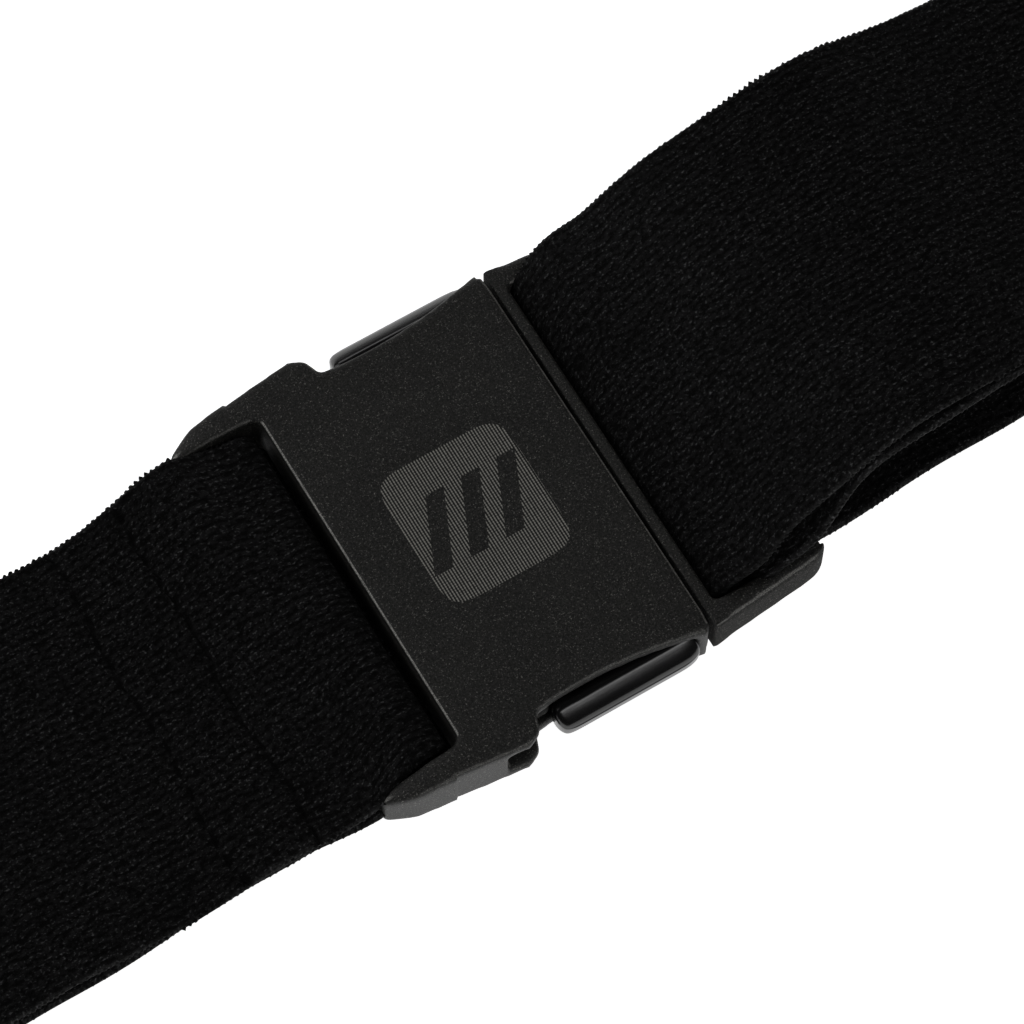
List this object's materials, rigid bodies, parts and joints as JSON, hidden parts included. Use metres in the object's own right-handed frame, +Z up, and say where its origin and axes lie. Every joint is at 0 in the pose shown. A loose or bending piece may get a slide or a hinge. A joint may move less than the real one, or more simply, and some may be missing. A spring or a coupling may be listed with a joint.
{
  "type": "money belt",
  "caption": "Elastic webbing belt lying flattened with its side-release buckle fastened on top, a length slider, and a slim zipped pocket on the inner face.",
  "frame": {"origin": "on the surface the belt lies on, under the middle of the buckle's plate and of the flattened loop", "axes": "+X along the belt from the socket towards the plug, +Y across the belt, +Z up out of the buckle's face"},
  "size_m": [0.4, 0.0454, 0.0221],
  "materials": {
    "elastic_webbing": "black ribbed elastic webbing",
    "moulded_plastic": "fine spark-eroded texture, matte black",
    "polished_plastic": "smooth glossy black",
    "pocket_cloth": "thin plain-woven black nylon",
    "zip_tape": "black woven tape",
    "zip_coil": "black nylon coil",
    "dark_metal": "black painted zinc",
    "thread": "black polyester thread"
  },
  "bodies": {
    "socket_side": {"buckle_socket": "moulded_plastic", "socket_strap_loop": "elastic_webbing", "sewn_strap_end": "elastic_webbing", "fold_stitching": "thread", "front_strap_left": "elastic_webbing", "left_strap_rise": "elastic_webbing", "left_upper_run": "elastic_webbing", "left_fold": "elastic_webbing", "back_strap": "elastic_webbing", "pocket_panel_left": "pocket_cloth", "pocket_panel_right": "pocket_cloth", "zip_tape_left": "zip_tape", "zip_tape_right": "zip_tape", "zip_coil_left": "zip_coil", "zip_coil_right": "zip_coil", "zip_stop_left": "zip_coil", "zip_stop_right": "zip_coil"},
    "plug_side": {"buckle_plug": "moulded_plastic", "plug_strap_loop": "elastic_webbing", "arch_rise": "elastic_webbing", "arch_fall": "elastic_webbing", "right_upper_run": "elastic_webbing", "return_strap": "elastic_webbing", "right_fold": "elastic_webbing", "back_strap_end": "elastic_webbing"},
    "left_prong": {"release_prong_left": "polished_plastic"},
    "right_prong": {"release_prong_right": "polished_plastic"},
    "slider_side": {"length_slider": "moulded_plastic", "slider_strap_loop": "elastic_webbing", "slider_strap_upper": "elastic_webbing", "slider_strap_lower": "elastic_webbing"},
    "zip_slider_body": {"zip_slider": "dark_metal"},
    "zip_pull_body": {"zip_pull": "dark_metal"}
  },
  "joints": [
    {"name": "plug_slide", "type": "slide", "parent": "socket_side", "child": "plug_side", "axis": [1, 0, 0], "range_m": [0, 0.024], "deforming": ["release_prong_left", "release_prong_right"]},
    {"name": "left_prong_hinge", "type": "hinge", "parent": "plug_side", "child": "left_prong", "pos_m": [-0.002, 0.0206, 0.00505], "axis": [0, 0, 1], "range_deg": [-11, 0], "stiffness_Nm_per_rad": 0.6},
    {"name": "right_prong_hinge", "type": "hinge", "parent": "plug_side", "child": "right_prong", "pos_m": [-0.002, -0.0206, 0.00505], "axis": [0, 0, 1], "range_deg": [0, 11], "stiffness_Nm_per_rad": 0.6},
    {"name": "length_slide", "type": "slide", "parent": "plug_side", "child": "slider_side", "axis": [1, 0, 0], "range_m": [0, 0.05]},
    {"name": "zip_slide", "type": "slide", "parent": "socket_side", "child": "zip_slider_body", "axis": [1, 0, 0], "range_m": [0, 0.07]},
    {"name": "zip_pull_hinge", "type": "hinge", "parent": "zip_slider_body", "child": "zip_pull_body", "pos_m": [-0.1772, 0, 0.006], "axis": [0, 1, 0], "range_deg": [-80, 0]}
  ]
}
